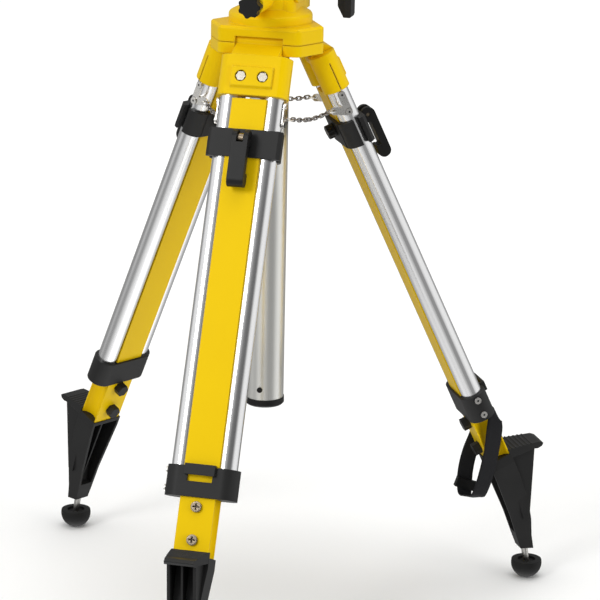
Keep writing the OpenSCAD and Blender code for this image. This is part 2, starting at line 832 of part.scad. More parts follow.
module foot_hardware(i) {
    color(STEEL) on_leg(i) {
        for (s = [screw_top, screw_low]) foot_screw(s);
        spike_rod(spike_d, socket_depth, spike_reach + spike_depth);
        rod_n(0, pivot_s, knob_end, pivot_n, stud_d);
        difference() {
            rod_u(pivot_n, pivot_s, -stud_eye_w / 2, stud_eye_w / 2, 2 * stud_eye_r);
            rod_n(0, pivot_s, knob_end, pivot_n, stud_d);
            rod_u(pivot_n, pivot_s, -lever_w, lever_w, cross_pin_d);
        }
        rod_u(pivot_n, pivot_s, -lever_w / 2 + over, lever_w / 2 - over, cross_pin_d);
    }
}

module rubber_foot(i) {
    color(RUBBER) difference() {
        rotate([0, 0, 120 * (i - 1)]) translate([0, -ball_radius, ball_z]) difference() {
            intersection() {
                sphere(d = foot_d, $fn = 64);
                translate([0, 0, -ball_z]) cylinder(d = 2 * foot_d, h = ball_z + foot_cut);
            }
            translate([0, 0, foot_cut - recess_depth]) cylinder(d = recess_d, h = foot_d);
        }
        on_leg(i) spike_rod(spike_d + 2 * fit, socket_depth, spike_reach + spike_depth);
    }
}

// Hexagon with long leg faces and short faces between them
function ray(length, turn) = length * [cos(turn), sin(turn)];
leg_turns = [for (i = LEGS) 120 * (i - 1) - 90];
round_face = flange_face - flange_round;
round_corner = flange_corner - flange_round;
half_face = (round_corner - round_face * cos(60)) / sin(60);
function round_centre(a, k) = ray(norm([round_face, half_face]), a + k * atan2(half_face, round_face));

module flange_outline(inset = 0) {
    r = flange_round - inset;
    polygon([for (a = leg_turns) for (k = SIDES) for (b = k < 0 ? [a - 60, a] : [a, a + 60])
        round_centre(a, k) + ray(r, b)]);
    for (a = leg_turns) for (k = SIDES) translate(round_centre(a, k)) circle(r = r);
}

// Slope along one side of the flange's upper edge
module edge_slope(a, distance) {
    depth = 4 * flange_edge;
    rotate([0, 0, a]) translate([distance - flange_edge / 2, 0, flange_h - flange_edge / 2]) rotate([0, 45, 0])
        translate([-depth / 2, -flange_corner, 0]) cube([depth, 2 * flange_corner, depth]);
}

module flange_slab() {
    difference() {
        linear_extrude(height = flange_h) flange_outline();
        for (a = leg_turns) {
            edge_slope(a, flange_face);
            edge_slope(a + 60, flange_corner);
        }
    }
}

module rack_slot(z0, z1) {
    half = rack_w / 2 + 0.5;
    box([-half, 0, z0], [half, rack_key, z1]);
}

module hinge_bar(d, length) {
    for (i = LEGS) rotate([0, 0, 120 * (i - 1)]) translate([-length / 2, -pin_radius, pin_z])
        rotate([0, 90, 0]) cylinder(d = d, h = length);
}

module leg_recesses(z0, z1, inner) {
    for (i = LEGS) rotate([0, 0, 120 * (i - 1)])
        box([-recess_w / 2, -2 * flange_face, z0], [recess_w / 2, -inner, z1]);
}

module head_screw_holes(z0, z1, d) {
    for (i = LEGS) rotate([0, 0, 120 * (i - 1) + 60]) translate([0, -screw_circle, z0])
        cylinder(d = d, h = z1 - z0);
}

module spider() {
    color(YELLOW) difference() {
        translate([0, 0, spider_bottom]) linear_extrude(height = spider_h) flange_outline();
        translate([0, 0, spider_bottom - over]) cylinder(r = through_r, h = spider_h + 2 * over);
        rack_slot(spider_bottom - over, pin_z + over);
        leg_recesses(spider_bottom - over, pin_z + over, pin_radius - barrel_room);
        hinge_bar(pin_d, pin_length + 2 * seat);
        head_screw_holes(spider_bottom - over, pin_z + over, head_screw_d + 2 * fit);
        head_screw_holes(spider_bottom - over, spider_bottom + 4, 2 * head_screw_d);
        translate([0, 0, pin_z - parting_h]) linear_extrude(height = parting_h + over) difference() {
            circle(r = 2 * flange_corner);
            flange_outline(parting_depth);
        }
    }
}

module gearbox_outline() {
    r = gearbox_corner;
    translate([0, -gearbox_front]) square([gearbox_x - r, gearbox_y1 + gearbox_front]);
    translate([0, -gearbox_front + r]) square([gearbox_x, gearbox_y1 + gearbox_front - 2 * r]);
    for (y = [-gearbox_front + r, gearbox_y1 - r]) translate([gearbox_x - r, y]) circle(r = r);
    translate([-shaft_tail - 8, 0]) square([gearbox_x, gearbox_y1]);
}

// Base ring with a rounded shoulder and a sloping top
module drum() {
    wall_h = ring_h + over - shoulder_r;
    tangent = [ring_r - shoulder_r, wall_h] + ray(shoulder_r, 90 - cone_slope);
    cone_top = tangent[1] + (tangent[0] - tower_r + over) * tan(cone_slope);
    rotate_extrude($fn = 96) {
        polygon([[0, 0], [ring_r, 0], [ring_r, wall_h], tangent, [tower_r - over, cone_top], [0, cone_top]]);
        translate([ring_r - shoulder_r, wall_h]) circle(r = shoulder_r);
    }
}

module column_housing() {
    color(YELLOW) difference() {
        union() {
            translate([0, 0, pin_z]) flange_slab();
            translate([0, 0, flange_top - over]) drum();
            translate([0, 0, flange_top]) cylinder(r = tower_r, h = tower_top - flange_top, $fn = 96);
            translate([0, 0, ring_top - over]) linear_extrude(height = gearbox_top - ring_top + over)
                gearbox_outline();
            translate([0, 0, brake_level]) rotate([90, 0, 0]) cylinder(d = brake_boss_d, h = brake_boss);
        }
        translate([0, 0, pin_z - over]) cylinder(r = bore_r, h = bush_lift + bush_h + over);
        translate([0, 0, pin_z]) cylinder(r = through_r, h = tower_h);
        translate([0, 0, tower_top - bush_h]) cylinder(r = bore_r, h = bush_h + over);
        rack_slot(pin_z - over, tower_top + over);
        leg_recesses(pin_z - over, pin_z + recess_h, pin_radius);
        intersection() {
            hinge_bar(2 * barrel_room, recess_w);
            translate([0, 0, pin_z - barrel_room]) cylinder(r = 2 * flange_face, h = 2 * barrel_room);
        }
        hinge_bar(pin_d, pin_length + 2 * seat);
        head_screw_holes(pin_z - over, flange_top - 3, head_screw_d + 2 * fit);
        translate([0, 0, brake_level]) rotate([90, 0, 0])
            cylinder(d = brake_screw_d + 2 * pin_clear, h = brake_boss + over);
        translate([0, 0, brake_level]) rotate([90, 0, 0])
            cylinder(d = brake_shoe_d + 4 * fit, h = -brake_pad_back + seat);
        translate([-gear_half, pinion_y, crank_level]) rotate([0, 90, 0])
            cylinder(r = gear_room, h = 2 * gear_half);
        translate([-shaft_tail - seat, pinion_y, crank_level]) rotate([0, 90, 0])
            cylinder(d = shaft_d + 2 * pin_clear, h = gearbox_x + shaft_tail + over);
        translate([gear_half - over, pinion_y, crank_level]) rotate([0, 90, 0])
            cylinder(r = gear_room, h = gearbox_x);
        for (p = cover_screws) translate([gearbox_x - 10, p[0], p[1]]) rotate([0, 90, 0])
            cylinder(d = cover_screw_d + 2 * fit, h = 20);
    }
}

module gearbox_cover() {
    inset = 2;
    r = gearbox_corner - inset;
    low = [-gearbox_front + inset, ring_top + 13];
    high = [gearbox_y1 - inset, gearbox_top - inset];
    color(YELLOW) difference() {
        union() {
            translate([gearbox_x, 0, 0]) rotate([90, 0, 90]) linear_extrude(height = cover_t) {
                translate([low[0] + r, low[1]]) square([high[0] - low[0] - 2 * r, high[1] - low[1]]);
                translate([low[0], low[1] + r]) square([high[0] - low[0], high[1] - low[1] - 2 * r]);
                for (y = [low[0] + r, high[0] - r]) for (z = [low[1] + r, high[1] - r])
                    translate([y, z]) circle(r = r);
            }
            translate([gear_half + seat, pinion_y, crank_level]) rotate([0, 90, 0])
                cylinder(r = gear_room - seat, h = gearbox_x - gear_half - seat + over);
        }
        translate([0, pinion_y, crank_level]) rotate([0, 90, 0])
            cylinder(d = shaft_d + 2 * pin_clear, h = gearbox_x + cover_t + over);
        for (p = cover_screws) translate([gearbox_x - over, p[0], p[1]]) rotate([0, 90, 0]) {
            cylinder(d = cover_screw_d + 2 * fit, h = 20);
            translate([0, 0, over + cover_t - cover_head_h]) cylinder(d = 2 * cover_screw_d + 4 * fit, h = 20);
        }
    }
}

module head_fasteners() {
    color(STEEL) {
        for (i = LEGS) rotate([0, 0, 120 * (i - 1) + 60]) translate([0, -screw_circle, 0]) {
            translate([0, 0, spider_bottom + 0.8]) difference() {
                cylinder(d = 2 * head_screw_d - 1, h = 3.2);
                translate([0, 0, -over]) cylinder(d = head_screw_d, h = 2 * over + 1, $fn = 6);
            }
            translate([0, 0, spider_bottom + 4]) cylinder(d = head_screw_d, h = pin_z + 9 - spider_bottom - 4);
        }
        for (p = cover_screws) translate([gearbox_x, p[0], p[1]]) rotate([0, 90, 0]) {
            translate([0, 0, -9]) cylinder(d = cover_screw_d, h = 9 + cover_t - cover_head_h);
            translate([0, 0, cover_t - cover_head_h]) difference() {
                cylinder(d = 2 * cover_screw_d, h = cover_head_h - seat);
                translate([-cover_screw_d, -0.5, cover_head_h - seat - 1]) cube([2 * cover_screw_d, 1, 2]);
            }
        }
    }
}

module hinge_pins() {
    color(STEEL) hinge_bar(pin_d, pin_length);
}

module guide_bushes() {
    color(NYLON) for (z = [pin_z + bush_lift, tower_top - bush_h]) difference() {
        translate([0, 0, z]) cylinder(r = bore_r, h = bush_h);
        translate([0, 0, z - over]) cylinder(r = bush_r, h = bush_h + 2 * over);
        rack_slot(z - over, z + bush_h + over);
        translate([0, 0, brake_level]) rotate([90, 0, 0]) cylinder(d = brake_shoe_d + 2 * over, h = 2 * bore_r);
    }
}

module brake_shoe() {
    color(NYLON) difference() {
        translate([0, brake_pad_back, brake_level]) rotate([-90, 0, 0])
            cylinder(d = brake_shoe_d, h = brake_shoe_t + brake_shoe_gap + 2);
        translate([0, 0, pin_z]) cylinder(r = column_r + brake_shoe_gap, h = tower_h);
    }
}

module brake_knob() {
    lobe_r = brake_knob_d / 2 - 3;
    color(BLACK) difference() {
        translate([0, 0, brake_level]) rotate([90, 0, 0]) {
            translate([0, 0, -brake_pad_back + seat])
                cylinder(d = brake_screw_d, h = brake_boss + brake_pad_back);
            translate([0, 0, brake_boss + seat]) {
                cylinder(d = brake_knob_d * 0.62, h = 5);
                translate([0, 0, 4]) cylinder(d = brake_knob_d - 3, h = knob_grip_h - 4);
                for (j = [0 : knob_lobes - 1])
                    translate(lobe_r * [cos(360 * j / knob_lobes), sin(360 * j / knob_lobes), 0] + [0, 0, 4])
                        cylinder(d = 6, h = knob_grip_h - 5);
            }
        }
        for (j = [0 : knob_lobes - 1]) translate([0, 0, brake_level]) rotate([90, 0, 0])
            translate(brake_knob_d * 0.56
                * [cos(360 * (j + 0.5) / knob_lobes), sin(360 * (j + 0.5) / knob_lobes), 0]
                      + [0, 0, brake_boss + 4]) cylinder(d = 8, h = knob_grip_h + over);
    }
}

// Involute point of the pinion's flank at a given roll, in degrees
base_r = pitch_r * cos(20);
function flank(roll) = base_r * [cos(roll) + roll * PI / 180 * sin(roll), sin(roll) - roll * PI / 180 * cos(roll)];
function polar(p, turn) = [p[0] * cos(turn) - p[1] * sin(turn), p[0] * sin(turn) + p[1] * cos(turn)];
tip_roll = sqrt(pow(pinion_tip_r / base_r, 2) - 1) * 180 / PI;
pitch_roll = tan(20) * 180 / PI;
tooth_half = 90 / pinion_teeth - (backlash / 2) / pitch_r * 180 / PI / 2 + (pitch_roll - 20);
pinion_root_r = pitch_r - dedendum;

module pinion_outline() {
    steps = 4;
    circle(r = pinion_root_r);
    for (j = [0 : pinion_teeth - 1]) rotate(360 * j / pinion_teeth - 90) polygon(concat(
        [[0, 0]],
        [for (q = [0 : steps]) polar(flank(tip_roll * q / steps), -tooth_half)],
        [for (q = [steps : -1 : 0]) let (p = flank(tip_roll * q / steps)) polar([p[0], -p[1]], tooth_half)]));
}

module pinion_shaft() {
    color(STEEL) translate([0, pinion_y, crank_level]) rotate([0, 90, 0]) {
        translate([0, 0, -rack_w / 2 - over]) linear_extrude(height = rack_w + 2 * over) pinion_outline();
        translate([0, 0, -shaft_tail]) cylinder(d = shaft_d, h = shaft_end + shaft_tail);
    }
}

// Outline in X and Z, given a width in Y about the crank shaft
module crank_plate(w) {
    translate([0, pinion_y, 0]) rotate([90, 0, 0]) linear_extrude(height = w, center = true) children();
}

module crank_rod(d, w) {
    translate([grip_x, pinion_y - w / 2, grip_z]) rotate([-90, 0, 0]) cylinder(d = d, h = w);
}

// Crank arm: it slants outward from its hub to a fork that holds the grip
module crank_arm() {
    elbow = [crank_x0 + hub_length - crank_t / 2, crank_level];
    color(BLACK) difference() {
        union() {
            crank_plate(crank_w) bar2d(elbow, [grip_x, grip_z], crank_t);
            crank_rod(2 * fork_r, crank_w);
            translate([crank_x0, pinion_y, crank_level]) rotate([0, 90, 0])
                cylinder(d = crank_hub_d, h = hub_length);
        }
        crank_rod(2 * (fork_r + stud_eye_room), grip_eye_w + 2 * stud_eye_room);
        crank_rod(grip_pin_d + 2 * fit, 2 * crank_w);
        translate([crank_x0 - over, pinion_y, crank_level]) rotate([0, 90, 0])
            cylinder(d = shaft_d + 2 * fit, h = 2 * hub_length);
    }
}

// Grip: a tapered handle on its own pin, which hangs in line with the arm and folds outward
module crank_grip() {
    outer = fork_r;
    root = fork_r + stud_eye_room;
    taper = (2 * outer - grip_tip) / tan(grip_slope);
    color(BLACK) {
        crank_plate(grip_eye_w) translate([grip_x, grip_z]) difference() {
            union() {
                circle(r = fork_r);
                translate([-outer, -root - over]) square([2 * outer, root + over]);
            }
            circle(d = grip_pin_d + 2 * fit);
        }
        crank_plate(crank_w - 4) translate([grip_x, grip_z]) polygon([
            [-outer, -root], [outer, -root], [outer, -grip_length + 1.5], [outer - 1.5, -grip_length],
            [outer - grip_tip, -grip_length], [-outer, -grip_length + taper]]);
        crank_plate(crank_w) translate([grip_x, grip_z]) polygon([
            [outer - grip_tip + 1, -root], [outer, -root], [outer, -grip_length + 3],
            [outer - 1.5, -grip_length + 1.5], [outer - grip_tip + 1, -grip_length + 1.5]]);
        crank_rod(grip_pin_d, crank_w);
    }
}

module column_tube() {
    color(ALLOY) difference() {
        translate([0, 0, column_bottom]) cylinder(r = column_r, h = column_top - column_bottom, $fn = 96);
        translate([0, 0, column_bottom - over])
            cylinder(r = column_r - column_wall, h = column_top - column_bottom + 2 * over);
        box([-rack_w / 2 - fit, rack_back, rack_bottom - fit], [rack_w / 2 + fit, column_d, rack_top + fit]);
        translate([0, 0, column_bottom + 13]) rotate([90, 0, 0]) cylinder(d = rivet_d + 2 * fit, h = column_d);
    }
}

module column_rack() {
    teeth = floor((rack_top - rack_bottom) / tooth_pitch) - 1;
    // A tooth gap lies level with the crank shaft
    start = crank_level - tooth_pitch * round((crank_level - rack_bottom) / tooth_pitch - 0.5);
    tip_half = tooth_pitch / 4 - backlash / 4 - addendum * tan(20);
    root_half = tooth_pitch / 4 - backlash / 4 + dedendum * tan(20);
    color(STEEL) rotate([90, 0, 90]) linear_extrude(height = rack_w, center = true) polygon(concat(
        [[rack_back, rack_bottom], [rack_root, rack_bottom]],
        [for (j = [0 : teeth - 1]) let (z = start + (j + 0.5) * tooth_pitch)
            for (p = [[rack_root, -root_half], [rack_line + addendum, -tip_half],
                      [rack_line + addendum, tip_half], [rack_root, root_half]]) [p[0], z + p[1]]],
        [[rack_root, rack_top], [rack_back, rack_top]]));
}

module column_end_cap() {
    color(BLACK) {
        difference() {
            translate([0, 0, column_bottom - cap_h]) rotate_extrude($fn = 96) polygon([
                [0, 0], [column_r + cap_lip - 2, 0], [column_r + cap_lip, 2], [column_r + cap_lip, cap_h],
                [column_r - column_wall - fit, cap_h], [column_r - column_wall - fit, cap_h + 22], [0, cap_h + 22]]);
            translate([0, 0, column_bottom + 4]) cylinder(r = column_r - column_wall - 3, h = 30);
            translate([0, 0, column_bottom + 13]) rotate([90, 0, 0]) cylinder(d = rivet_d + 2 * fit, h = column_d);
        }
        translate([0, 0, column_bottom + 13]) rotate([90, 0, 0]) {
            translate([0, 0, column_r - column_wall - 3]) cylinder(d = rivet_d, h = column_wall + 3);
            translate([0, 0, column_r]) cylinder(d = rivet_head_d * 0.8, h = rivet_head_h);
        }
    }
}

module head_plate() {
    color(YELLOW) difference() {
        union() {
            translate([0, 0, column_top]) cylinder(d = hub_d, h = hub_floor_t, $fn = 96);
            translate([0, 0, column_top]) intersection() {
                cylinder(d = hub_d, h = hub_top - column_top + over, $fn = 96);
                box([-hub_d, -post_w / 2, 0], [hub_d, post_w / 2, hub_top - column_top + over]);
            }
            translate([0, 0, hub_top]) rotate_extrude($fn = 128) polygon([
                [0, 0], [plate_d / 2 - 3, 0], [plate_d / 2, 3], [plate_d / 2, head_plate_t - 1.5],
                [plate_d / 2 - 1.5, head_plate_t], [0, head_plate_t]]);
            translate([0, 0, column_top - spigot_h])
                cylinder(r = column_r - column_wall - fit, h = spigot_h + over);
        }
        translate([0, 0, column_top - spigot_h - over])
            cylinder(r = column_r - column_wall - 5, h = spigot_h + over);
        translate([0, 0, column_top + hub_floor_t]) cylinder(d = wheel_d + 2 * over, h = wheel_gap);
        translate([0, 0, hub_top - over]) cylinder(d = thread_d + 2 * pin_clear, h = head_plate_t + 2 * over);
    }
}

module fixing_screw() {
    neck_step = 0.8;
    wheel_z = column_top + hub_floor_t + (wheel_gap - wheel_h) / 2 - 0.7;
    color(STEEL) {
        difference() {
            translate([0, 0, wheel_z]) cylinder(d = wheel_d, h = wheel_h, $fn = 96);
            for (j = [0 : wheel_flutes - 1]) rotate([0, 0, 360 * j / wheel_flutes])
                translate([wheel_d / 2 + 1, 0, wheel_z - over]) cylinder(d = 4, h = wheel_h + 2 * over);
        }
        translate([0, 0, wheel_z + wheel_h - over])
            cylinder(d = thread_d - 2 * neck_step, h = plate_top - wheel_z - wheel_h + 2 * over);
        translate([0, 0, plate_top]) cylinder(d = thread_d, h = thread_length);
    }
}

// Strap: a closed loop round the profile, hung on the collar's bar, seen from the side in n and s
strap_front_n = collar_r + 0.4;
strap_foot = collar_bottom + strap_hang;
strap_runs = [
    [strap_front_n, bar_top + 22], [strap_front_n + strap_t, bar_top + 22],
    [strap_front_n + 2.5, collar_bottom + 18],
    [48.5 - strap_swing, strap_foot - 59.5], [22.5 - strap_swing, strap_foot - 22.5],
    [-strap_swing, strap_foot],
    [-strap_swing - 0.63 * strap_w, strap_foot - 0.36 * strap_w], [6.5 - strap_swing, strap_foot - 31.5],
    [25.7 - strap_swing, strap_foot - 57.5], [0, collar_bottom + 8], [strap_front_n, collar_bottom + 0.4]];

module carry_strap() {
    foot_in = [-strap_swing, strap_foot];
    foot_out = strap_runs[6];
    lift = strap_t * [0.5, -0.87];
    color(RUBBER) on_leg(2) {
        for (k = SIDES) translate([k * (strap_side + strap_t / 2), 0, 0]) side(strap_t) polygon(strap_runs);
        side(2 * strap_side + strap_t) polygon([foot_in, foot_out, foot_out + lift, foot_in + lift]);
        side(2 * strap_side + strap_t) polygon([
            [strap_front_n, bar_top + 22], [strap_front_n + strap_t, bar_top + 22],
            [strap_front_n + strap_t, collar_bottom - 1], [strap_front_n, collar_bottom - 1]]);
    }
}

module strap_buckle() {
    middle = [1.8 - strap_swing, strap_foot - 11.3];
    room = strap_w + 2;
    buckle_length = 12;
    color(BLACK) on_leg(2) translate([strap_side + strap_t / 2, -middle[0], -middle[1]]) rotate([45, 0, 0])
        difference() {
            cube([strap_t + 5, room + 6, buckle_length], center = true);
            cube([strap_t + 2 * seat, room + 3, 3 * buckle_length], center = true);
        }
}

spider();
column_housing();
head_fasteners();
gearbox_cover();
hinge_pins();
guide_bushes();
brake_shoe();
brake_knob();
pinion_shaft();
crank_arm();
crank_grip();
column_tube();
column_rack();
column_end_cap();
head_plate();
fixing_screw();
carry_strap();
strap_buckle();
for (i = LEGS) {
    leg_head(i);
    leg_tubes(i);
    leg_collar(i);
    leg_hardware(i);
    leg_profile(i);
    clamp_plate(i);
    clamp_shell(i);
    clamp_lever(i);
    clamp_knob(i);
    shoe(i);
    foot_hardware(i);
    rubber_foot(i);
    half_chain(i, -1);
    half_chain(i, 1);
}
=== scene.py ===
import bmesh
import bpy
import json
import math
from mathutils import Matrix, Vector


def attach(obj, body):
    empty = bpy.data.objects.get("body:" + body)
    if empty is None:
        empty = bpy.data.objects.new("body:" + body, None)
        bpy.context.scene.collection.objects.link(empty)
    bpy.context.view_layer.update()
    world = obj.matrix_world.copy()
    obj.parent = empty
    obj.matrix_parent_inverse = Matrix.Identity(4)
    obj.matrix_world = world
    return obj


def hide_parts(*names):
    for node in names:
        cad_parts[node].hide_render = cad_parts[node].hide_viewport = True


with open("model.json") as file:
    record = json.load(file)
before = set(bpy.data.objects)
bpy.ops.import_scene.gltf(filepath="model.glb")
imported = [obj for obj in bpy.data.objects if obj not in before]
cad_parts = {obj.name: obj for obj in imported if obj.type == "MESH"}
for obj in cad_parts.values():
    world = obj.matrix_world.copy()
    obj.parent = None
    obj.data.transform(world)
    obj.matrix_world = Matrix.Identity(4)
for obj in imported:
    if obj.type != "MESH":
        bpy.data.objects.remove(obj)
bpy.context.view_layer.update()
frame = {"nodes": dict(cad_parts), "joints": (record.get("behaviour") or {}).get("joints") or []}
nodes = frame["nodes"]
joints = {j["name"]: j for j in frame["joints"]}
scene = bpy.context.scene

# Camera
# A long lens, standing a little above the head and looking down at the legs,
# with the slight tilt that the photograph has.
heading, dip, tilt = math.radians(104.09), math.radians(-16.1), math.radians(1.14)
forward = Vector((math.cos(dip) * math.cos(heading), math.cos(dip) * math.sin(heading), math.sin(dip)))
level = Vector((math.sin(heading), -math.cos(heading), 0))
upright = level.cross(forward)
camera = bpy.data.objects.new("camera", bpy.data.cameras.new("camera"))
camera.data.lens, camera.data.sensor_width = 162.4, 36
camera.matrix_world = Matrix.Translation((0.7831, -2.9559, 1.2615)) @ Matrix((
    level * math.cos(tilt) + upright * math.sin(tilt),
    upright * math.cos(tilt) - level * math.sin(tilt),
    -forward)).transposed().to_4x4()
scene.collection.objects.link(camera)
scene.camera = camera
scene.view_settings.view_transform = "Standard"


# Studio
# A white paper sweep under two soft boxes and a weak side light, with a tall white wall on either side.
# The studio behind the camera is dim; bare metal shows it as a dark band between the two walls.
class Wire:
    """One socket of a finish; arithmetic on it adds Math nodes to that finish."""

    def __init__(self, tree, socket):
        self.tree, self.socket = tree, socket

    def node(self, kind, settings=None, sockets=None, out=0):
        made = self.tree.nodes.new("ShaderNode" + kind)
        for name, value in (settings or {}).items():
            setattr(made, name, value)
        for name, value in (sockets or {}).items():
            if isinstance(value, Wire):
                self.tree.links.new(value.socket, made.inputs[name])
            else:
                made.inputs[name].default_value = value
        return Wire(self.tree, made.outputs[out])

    def math(self, operation, *values):
        return self.node("Math", {"operation": operation}, dict(enumerate(values)))

    def __add__(self, other): return self.math("ADD", self, other)
    def __radd__(self, other): return self.math("ADD", other, self)
    def __sub__(self, other): return self.math("SUBTRACT", self, other)
    def __rsub__(self, other): return self.math("SUBTRACT", other, self)
    def __mul__(self, other): return self.math("MULTIPLY", self, other)
    def __rmul__(self, other): return self.math("MULTIPLY", other, self)
    def __pow__(self, other): return self.math("POWER", self, other)
    def __gt__(self, other): return self.math("GREATER_THAN", self, other)
    def __lt__(self, other): return self.math("LESS_THAN", self, other)

    def into(self, shader, name):
        self.tree.links.new(self.socket, shader.inputs[name])


def finish(name, colour, roughness, metallic=0.0, coat=0.0, coat_roughness=0.2, specular=0.5):
    """A new material, its shader and the wire that carries the place on the piece, in metres."""
    material = bpy.data.materials.new(name)
    material.use_nodes = True
    tree = material.node_tree
    shader = tree.nodes["Principled BSDF"]
    for socket, value in {"Base Color": (*colour, 1), "Roughness": roughness, "Metallic": metallic,
                          "Coat Weight": coat, "Coat Roughness": coat_roughness,
                          "Specular IOR Level": specular}.items():
        shader.inputs[socket].default_value = value
    return material, shader, Wire(tree, tree.nodes.new("ShaderNodeTexCoord").outputs["Object"])


floor_mesh = bpy.data.meshes.new("paper_sweep")
sheet = bmesh.new()
reach, flat_end, sweep_r, sweep_top = 30.0, 3.0, 2.5, 9.0
bends = [math.radians(9 * k) for k in range(1, 11)]
profile = [(-reach, 0.0), (flat_end, 0.0)]
profile += [(flat_end + sweep_r * math.sin(a), sweep_r - sweep_r * math.cos(a)) for a in bends]
profile.append((flat_end + sweep_r, sweep_top))
rows = [[sheet.verts.new((x, y, z)) for x in (-reach, reach)] for y, z in profile]
for low, high in zip(rows, rows[1:]):
    sheet.faces.new((low[0], low[1], high[1], high[0])).smooth = True
sheet.to_mesh(floor_mesh)
floor = bpy.data.objects.new("paper_sweep", floor_mesh)
scene.collection.objects.link(floor)
# The paper glows with painted light that grows toward the back; painted shadow darkens it close under the
# legs and in a pool under the head
paper, shader, place = finish("white_paper", (0.80, 0.80, 0.79), 0.9, specular=0.1)
shader.inputs["Emission Strength"].default_value = 0.42
# Painted shadow: the glow is dimmed where ambient occlusion finds the tripod close by, and in a pool round
# the point under the head
open_sky = place.node("AmbientOcclusion", {"samples": 8}, {"Distance": 0.4}, "AO") ** 2.0
painted_glow = place.node("MapRange", {}, {
    "Value": place.node("SeparateXYZ", {}, {"Vector": place}, "Y"), "From Min": 0.2, "From Max": 2.2,
    "To Min": 0.45, "To Max": 1.05}, "Result") * open_sky
away = place.node("VectorMath", {"operation": "DISTANCE"}, {0: place, 1: (0.03, 0.0, 0.0)}, "Value")
painted_glow = painted_glow * place.node("MapRange", {"interpolation_type": "SMOOTHSTEP"}, {
    "Value": away, "From Min": 0.02, "From Max": 0.36, "To Min": -0.15}, "Result")
painted_glow_colour = place.node("CombineColor", {}, {"Red": painted_glow, "Green": painted_glow, "Blue": painted_glow * 0.995}, "Color")
painted_glow_colour.into(shader, "Emission Color")
grain = place.node("TexNoise", {}, {"Vector": place, "Scale": 1.5, "Detail": 2.0}, "Fac")
(0.86 + 0.08 * grain).into(shader, "Roughness")
floor_mesh.materials.append(paper)
floor.visible_diffuse = floor.visible_glossy = False

scene.world = bpy.data.worlds.new("studio")
scene.world.use_nodes = True
studio = scene.world.node_tree
sky = Wire(studio, studio.nodes.new("ShaderNodeTexCoord").outputs["Generated"])


def wall(bearing, lift, full, edge):
    """Mask of a soft-edged white wall seen in that direction; angles in degrees."""
    bearing, lift = math.radians(bearing), math.radians(lift)
    toward = (math.cos(lift) * math.cos(bearing), math.cos(lift) * math.sin(bearing), math.sin(lift))
    facing = sky.node("VectorMath", {"operation": "DOT_PRODUCT"}, {0: sky, 1: toward}, "Value")
    return sky.node("MapRange", {"interpolation_type": "SMOOTHSTEP"}, {
        "Value": facing, "From Min": math.cos(math.radians(edge)),
        "From Max": math.cos(math.radians(full))}, "Result")


glow = (0.30 + 0.50 * wall(-97, -16, 8, 36) + 0.62 * wall(14, 0, 15, 46) + 0.55 * wall(-160, 15, 12, 40)
        + 0.50 * wall(90, 90, 25, 65) + 1.30 * wall(-90, -90, 20, 46) + 0.35 * wall(-90, -90, 38, 66)
        - 0.18 * wall(-52, 30, 14, 32))
studio.nodes["Background"].inputs["Color"].default_value = (1, 1, 1, 1)
glow.into(studio.nodes["Background"], "Strength")
for name, spot, aim, width, height, power in (
        ("key_box", (-1.9, -3.3, 2.9), (0, 0, 0.4), 1.5, 1.7, 72),
        ("top_box", (0.3, 0.4, 3.4), (0, 0, 0.2), 2.4, 2.4, 30),
        ("side_fill", (2.7, -0.9, 0.8), (0, 0, 0.4), 1.6, 1.6, 30)):
    lamp = bpy.data.lights.new(name, "AREA")
    lamp.shape, lamp.size, lamp.size_y, lamp.energy = "RECTANGLE", width, height, power
    box = bpy.data.objects.new(name, lamp)
    box.location = spot
    box.rotation_mode = "QUATERNION"
    box.rotation_quaternion = (Vector(aim) - Vector(spot)).to_track_quat("-Z", "Y")
    box.visible_glossy = name != "side_fill"
    scene.collection.objects.link(box)


# Painted castings and profiles
# Die-cast head, spider, leg heads and head plate, and extruded sliding profiles, all powder coated yellow.
# The coat is a little thin along the edges, and the edges are made paler, partly as wear and partly as a
# painted highlight; it has a fine orange-peel skin.
def powder_coat(name, peel, round_edge):
    material, shader, place = finish(
        name, (0.86, 0.57, 0.002), 0.42, coat=0.02, coat_roughness=0.25, specular=0.3)
    shader.inputs["Specular Tint"].default_value = (1.0, 0.76, 0.10, 1)
    soft = place.node("Bevel", {"samples": 4}, {"Radius": round_edge})
    flat = place.node("NewGeometry", out="Normal")
    edge = 1 - place.node("VectorMath", {"operation": "DOT_PRODUCT"}, {0: soft, 1: flat}, "Value")
    edge = place.node("MapRange", {}, {"Value": edge, "From Min": 0.02, "From Max": 0.3}, "Result")
    cloud = place.node("TexNoise", {}, {"Vector": place, "Scale": 14.0, "Detail": 3.0}, "Fac")
    coat = place.node("Mix", {"data_type": "RGBA"}, {
        "Factor": cloud, 6: (0.83, 0.54, 0.002, 1), 7: (0.88, 0.595, 0.002, 1)}, 2)
    # Paler edges: partly worn coat, partly a painted highlight
    worn_and_highlit = place.node("Mix", {"data_type": "RGBA"}, {
        "Factor": edge * 0.35, 6: coat, 7: (0.90, 0.68, 0.10, 1)}, 2)
    worn_and_highlit.into(shader, "Base Color")
    specks = place.node("TexNoise", {}, {"Vector": place, "Scale": peel, "Detail": 1.0}, "Fac")
    (0.31 + 0.08 * cloud + 0.06 * specks).into(shader, "Roughness")
    skin = place.node("Bump", {}, {"Strength": 0.25, "Distance": 0.00012, "Height": specks, "Normal": soft})
    skin.into(shader, "Normal")
    return material


def dress(node, material):
    """The piece keeps its shape and takes this finish."""
    mesh = nodes[node].data
    mesh.materials.clear()
    mesh.materials.append(material)


cast_coat = powder_coat("yellow_casting", 420.0, 0.002)
drawn_coat = powder_coat("yellow_profile", 750.0, 0.0008)
for node in ("spider", "column_housing", "gearbox_cover", "head_plate"):
    dress(node, cast_coat)
for i in (1, 2, 3):
    dress(f"leg_{i}_head", cast_coat)
    dress(f"leg_{i}_profile", drawn_coat)
